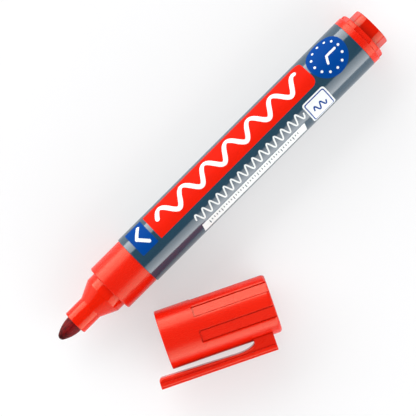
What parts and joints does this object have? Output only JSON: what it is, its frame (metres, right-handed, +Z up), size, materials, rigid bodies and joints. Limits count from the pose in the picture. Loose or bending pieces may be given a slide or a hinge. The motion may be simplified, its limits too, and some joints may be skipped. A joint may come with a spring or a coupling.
{
  "type": "whiteboard marker",
  "caption": "Round whiteboard marker with a bullet nib, lying uncapped beside its clip cap.",
  "frame": {"origin": "on the marker's axis, where the front section's collar meets the barrel", "axes": "+X along the marker from nib to rear, +Z up from the surface that the marker and its cap lie on, +Y away from the cap"},
  "size_m": [0.1328, 0.0571, 0.0183],
  "materials": {
    "barrel_lacquer": "slate metallic lacquer on thin aluminium, satin gloss",
    "red_plastic": "glossy moulded polypropylene",
    "nib_felt": "bonded fibre soaked in red ink",
    "filler_fibre": "ink-soaked polyester fibre",
    "filler_film": "thin plain film",
    "liner_plastic": "natural polyethylene",
    "print_white": "white printing ink under lacquer",
    "print_red": "red printing ink under lacquer",
    "print_blue": "blue printing ink under lacquer"
  },
  "bodies": {
    "marker": {"barrel": "barrel_lacquer", "front_section": "red_plastic", "end_plug": "red_plastic", "ink_filler": "filler_fibre", "filler_film": "filler_film"},
    "nib": {"nib": "nib_felt"},
    "cap": {"cap_shell": "red_plastic", "cap_liner": "liner_plastic"},
    "clip": {"cap_clip": "red_plastic"}
  },
  "joints": [
    {"name": "cap_swing", "type": "hinge", "parent": "marker", "child": "cap", "pos_m": [-0.0248, -0.00756, 0.00065], "axis": [0, 0, -1], "range_deg": [0, 154.1]},
    {"name": "clip_flex", "type": "hinge", "parent": "cap", "child": "clip", "pos_m": [0.00045, -0.04346, 0.00065], "axis": [0, 0, 1], "range_deg": [0, 6], "stiffness_Nm_per_rad": 0.8},
    {"name": "nib_pull", "type": "slide", "parent": "marker", "child": "nib", "axis": [-1, 0, 0], "range_m": [0, 0.04]}
  ]
}
